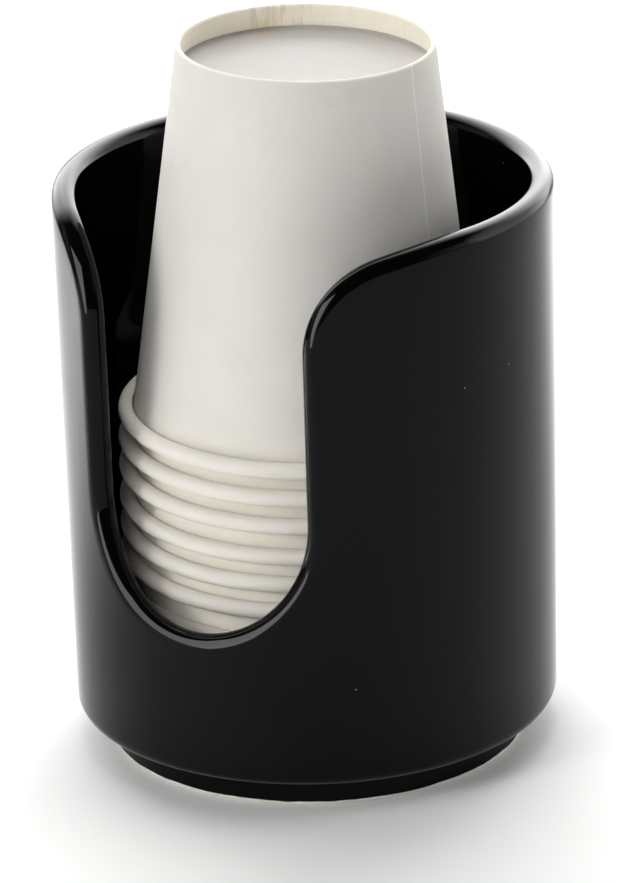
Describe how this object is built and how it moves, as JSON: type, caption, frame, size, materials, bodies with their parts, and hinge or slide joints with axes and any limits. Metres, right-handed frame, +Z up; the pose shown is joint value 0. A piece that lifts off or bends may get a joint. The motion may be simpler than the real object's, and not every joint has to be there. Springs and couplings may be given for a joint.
{
  "type": "cup dispenser",
  "caption": "Round glazed stoneware holder with an open front and a foot ring, carrying a nested stack of upside-down paper cups that lift off one by one.",
  "frame": {"origin": "centre of the foot ring, on the surface that the holder stands on", "axes": "+Z up, -Y towards the cut-out, +X to the right seen from the cut-out"},
  "size_m": [0.093, 0.0924, 0.1363],
  "materials": {
    "black_glaze": "high-gloss black glaze, unglazed cream clay on the edge of the foot",
    "cup_wall_paper": "uncoated warm off-white paper board, matt",
    "cup_base_paper": "uncoated off-white paper board, matt"
  },
  "bodies": {
    "holder": {"holder": "black_glaze"},
    "cup_1": {"cup_1_wall": "cup_wall_paper", "cup_1_base": "cup_base_paper"},
    "cup_2": {"cup_2_wall": "cup_wall_paper", "cup_2_base": "cup_base_paper"},
    "cup_3": {"cup_3_wall": "cup_wall_paper", "cup_3_base": "cup_base_paper"},
    "cup_4": {"cup_4_wall": "cup_wall_paper", "cup_4_base": "cup_base_paper"},
    "cup_5": {"cup_5_wall": "cup_wall_paper", "cup_5_base": "cup_base_paper"},
    "cup_6": {"cup_6_wall": "cup_wall_paper", "cup_6_base": "cup_base_paper"},
    "cup_7": {"cup_7_wall": "cup_wall_paper", "cup_7_base": "cup_base_paper"},
    "cup_8": {"cup_8_wall": "cup_wall_paper", "cup_8_base": "cup_base_paper"},
    "cup_9": {"cup_9_wall": "cup_wall_paper", "cup_9_base": "cup_base_paper"},
    "cup_10": {"cup_10_wall": "cup_wall_paper", "cup_10_base": "cup_base_paper"},
    "cup_11": {"cup_11_wall": "cup_wall_paper", "cup_11_base": "cup_base_paper"}
  },
  "joints": [
    {"name": "cup_1_lift", "type": "slide", "parent": "holder", "child": "cup_1", "axis": [0, 0, 1], "range_m": [0, 0.105]},
    {"name": "cup_2_lift", "type": "slide", "parent": "cup_1", "child": "cup_2", "axis": [0.0019, 0.0012, 1], "range_m": [0, 0.07]},
    {"name": "cup_3_lift", "type": "slide", "parent": "cup_2", "child": "cup_3", "axis": [0.0039, 0.0023, 1], "range_m": [0, 0.07]},
    {"name": "cup_4_lift", "type": "slide", "parent": "cup_3", "child": "cup_4", "axis": [0.0058, 0.0035, 1], "range_m": [0, 0.07]},
    {"name": "cup_5_lift", "type": "slide", "parent": "cup_4", "child": "cup_5", "axis": [0.0078, 0.0047, 1], "range_m": [0, 0.07]},
    {"name": "cup_6_lift", "type": "slide", "parent": "cup_5", "child": "cup_6", "axis": [0.0097, 0.0058, 0.9999], "range_m": [0, 0.07]},
    {"name": "cup_7_lift", "type": "slide", "parent": "cup_6", "child": "cup_7", "axis": [0.0117, 0.007, 0.9999], "range_m": [0, 0.07]},
    {"name": "cup_8_lift", "type": "slide", "parent": "cup_7", "child": "cup_8", "axis": [0.0136, 0.0082, 0.9999], "range_m": [0, 0.07]},
    {"name": "cup_9_lift", "type": "slide", "parent": "cup_8", "child": "cup_9", "axis": [0.0156, 0.0093, 0.9998], "range_m": [0, 0.07]},
    {"name": "cup_10_lift", "type": "slide", "parent": "cup_9", "child": "cup_10", "axis": [0.0175, 0.0105, 0.9998], "range_m": [0, 0.07]},
    {"name": "cup_11_lift", "type": "slide", "parent": "cup_10", "child": "cup_11", "axis": [0.0195, 0.0117, 0.9997], "range_m": [0, 0.07]}
  ]
}
